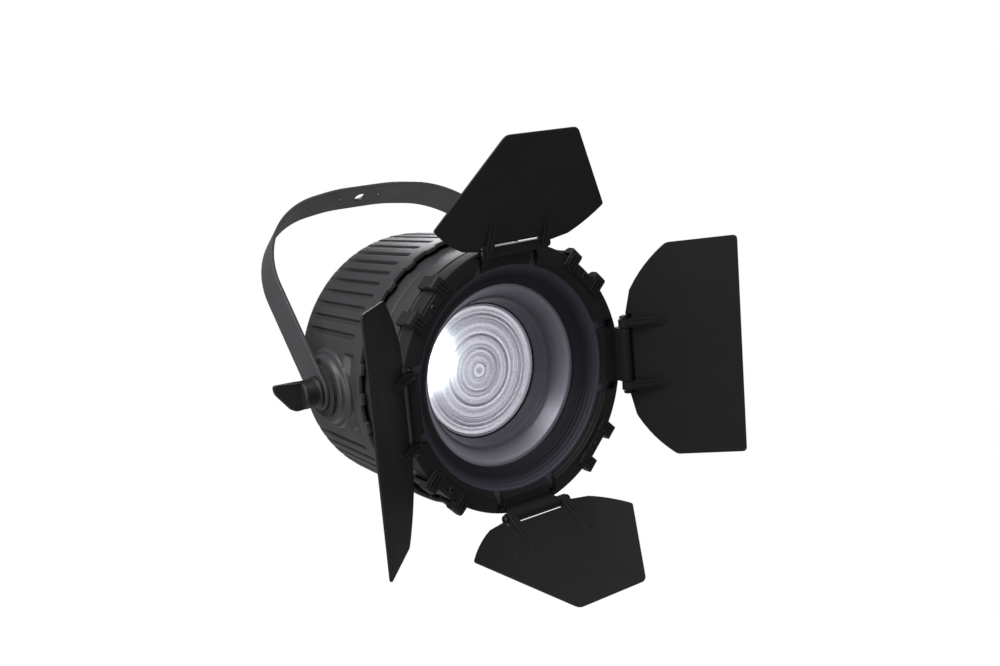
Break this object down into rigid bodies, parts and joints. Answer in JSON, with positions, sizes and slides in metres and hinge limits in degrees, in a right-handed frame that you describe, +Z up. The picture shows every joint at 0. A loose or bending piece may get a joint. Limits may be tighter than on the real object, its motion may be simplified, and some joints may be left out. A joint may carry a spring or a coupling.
{
  "type": "fresnel spotlight",
  "caption": "Studio spotlight with a ribbed round body, zooming fresnel lens, rotating barn door with folding leaves, and a hanging yoke with tilt locks.",
  "frame": {"origin": "outer face of the yoke's top bar, at the middle of its bolt hole", "axes": "+Z up, light leaves along -Y, +X to the lamp's left when seen from behind; the yoke leans back towards +Y"},
  "size_m": [0.4017, 0.3647, 0.3853],
  "materials": {
    "yoke_paint": "satin black powder coat on steel strap",
    "door_paint": "matte black heat-proof paint on sheet steel",
    "cast_body": "fine-textured black powder coat on cast aluminium",
    "grey_reflector": "grey coated spun aluminium, matte",
    "bare_aluminium": "mill-finished",
    "plated_steel": "zinc plated",
    "brass": "turned",
    "fibre": "pressed fibre friction disc",
    "black_plastic": "moulded glass-filled nylon",
    "circuit_board": "solder mask",
    "clear_glass": "pressed glass, stippled at the back",
    "led_light": "clear domed emitter"
  },
  "bodies": {
    "yoke": {"yoke": "yoke_paint"},
    "tilt_lock_left": {"tilt_lock_left": "black_plastic"},
    "tilt_lock_right": {"tilt_lock_right": "black_plastic"},
    "head": {"rear_housing": "cast_body", "front_barrel": "cast_body", "rear_cover": "cast_body", "nose_baffle": "cast_body", "lens_bezel": "grey_reflector", "pivot_insert_left": "brass", "pivot_insert_right": "brass", "friction_washer_left": "fibre", "friction_washer_right": "fibre", "guide_rod_left": "plated_steel", "guide_rod_right": "plated_steel", "zoom_motor": "black_plastic", "chassis_plate": "bare_aluminium", "heatsink": "bare_aluminium", "power_supply": "bare_aluminium", "led_board": "circuit_board", "control_board": "circuit_board", "led_array": "led_light", "fan_frame": "black_plastic", "display_window": "clear_glass", "power_inlet": "black_plastic", "power_outlet": "black_plastic", "data_inlet": "black_plastic", "data_outlet": "black_plastic", "fuse_holder": "black_plastic", "cover_screw_1": "plated_steel", "cover_screw_2": "plated_steel", "cover_screw_3": "plated_steel", "cover_screw_4": "plated_steel", "safety_eye": "plated_steel"},
    "lens_carriage": {"fresnel_lens": "clear_glass", "lens_retainer": "black_plastic", "lens_carrier": "black_plastic"},
    "lead_screw": {"lead_screw": "plated_steel"},
    "fan_rotor": {"fan_rotor": "black_plastic"},
    "menu_button_1": {"menu_button_1": "black_plastic"},
    "menu_button_2": {"menu_button_2": "black_plastic"},
    "menu_button_3": {"menu_button_3": "black_plastic"},
    "menu_button_4": {"menu_button_4": "black_plastic"},
    "door": {"door_ring": "door_paint", "ring_clip_upper_right": "door_paint", "ring_clip_lower_right": "door_paint", "ring_clip_lower_left": "door_paint", "ring_clip_upper_left": "door_paint", "hinge_block_top": "door_paint", "hinge_block_right": "door_paint", "hinge_block_bottom": "door_paint", "hinge_block_left": "door_paint", "hinge_pin_top": "plated_steel", "hinge_pin_right": "plated_steel", "hinge_pin_bottom": "plated_steel", "hinge_pin_left": "plated_steel"},
    "leaf_top": {"door_leaf_top": "door_paint"},
    "leaf_right": {"door_leaf_right": "door_paint"},
    "leaf_bottom": {"door_leaf_bottom": "door_paint"},
    "leaf_left": {"door_leaf_left": "door_paint"}
  },
  "joints": [
    {"name": "head_tilt", "type": "hinge", "parent": "yoke", "child": "head", "pos_m": [0, -0.1219, -0.15603], "axis": [1, 0, 0], "range_deg": [-50, 100]},
    {"name": "tilt_lock_left_turn", "type": "hinge", "parent": "yoke", "child": "tilt_lock_left", "pos_m": [-0.134, -0.1219, -0.15603], "axis": [1, 0, 0], "range_deg": [-120, 60]},
    {"name": "tilt_lock_right_turn", "type": "hinge", "parent": "yoke", "child": "tilt_lock_right", "pos_m": [0.134, -0.1219, -0.15603], "axis": [1, 0, 0], "range_deg": [-120, 60]},
    {"name": "lens_zoom", "type": "slide", "parent": "head", "child": "lens_carriage", "axis": [0, 1, 0], "range_m": [0, 0.04]},
    {"name": "screw_spin", "type": "hinge", "parent": "head", "child": "lead_screw", "pos_m": [0, -0.1655, -0.24403], "axis": [0, 1, 0], "range_deg": [0, 1800]},
    {"name": "fan_spin", "type": "hinge", "parent": "head", "child": "fan_rotor", "pos_m": [0, -0.0761, -0.15603], "axis": [0, 1, 0], "continuous": true},
    {"name": "menu_button_1_press", "type": "slide", "parent": "head", "child": "menu_button_1", "axis": [0, -1, 0], "range_m": [0, 0.0015], "stiffness_N_per_m": 400},
    {"name": "menu_button_2_press", "type": "slide", "parent": "head", "child": "menu_button_2", "axis": [0, -1, 0], "range_m": [0, 0.0015], "stiffness_N_per_m": 400},
    {"name": "menu_button_3_press", "type": "slide", "parent": "head", "child": "menu_button_3", "axis": [0, -1, 0], "range_m": [0, 0.0015], "stiffness_N_per_m": 400},
    {"name": "menu_button_4_press", "type": "slide", "parent": "head", "child": "menu_button_4", "axis": [0, -1, 0], "range_m": [0, 0.0015], "stiffness_N_per_m": 400},
    {"name": "door_turn", "type": "hinge", "parent": "head", "child": "door", "pos_m": [0, -0.2419, -0.15603], "axis": [0, 1, 0], "continuous": true},
    {"name": "leaf_top_fold", "type": "hinge", "parent": "door", "child": "leaf_top", "pos_m": [0, -0.2541, -0.03853], "axis": [-1, 0, 0], "range_deg": [-153, 12]},
    {"name": "leaf_right_fold", "type": "hinge", "parent": "door", "child": "leaf_right", "pos_m": [0.1175, -0.2541, -0.15603], "axis": [0, 0, 1], "range_deg": [-141, 24]},
    {"name": "leaf_bottom_fold", "type": "hinge", "parent": "door", "child": "leaf_bottom", "pos_m": [0, -0.2541, -0.27353], "axis": [1, 0, 0], "range_deg": [-118, 47]},
    {"name": "leaf_left_fold", "type": "hinge", "parent": "door", "child": "leaf_left", "pos_m": [-0.1175, -0.2541, -0.15603], "axis": [0, 0, -1], "range_deg": [-135, 30]}
  ],
  "couplings": [
    {"joint": "screw_spin", "follows": "lens_zoom", "rad_per_m": 785.4}
  ]
}
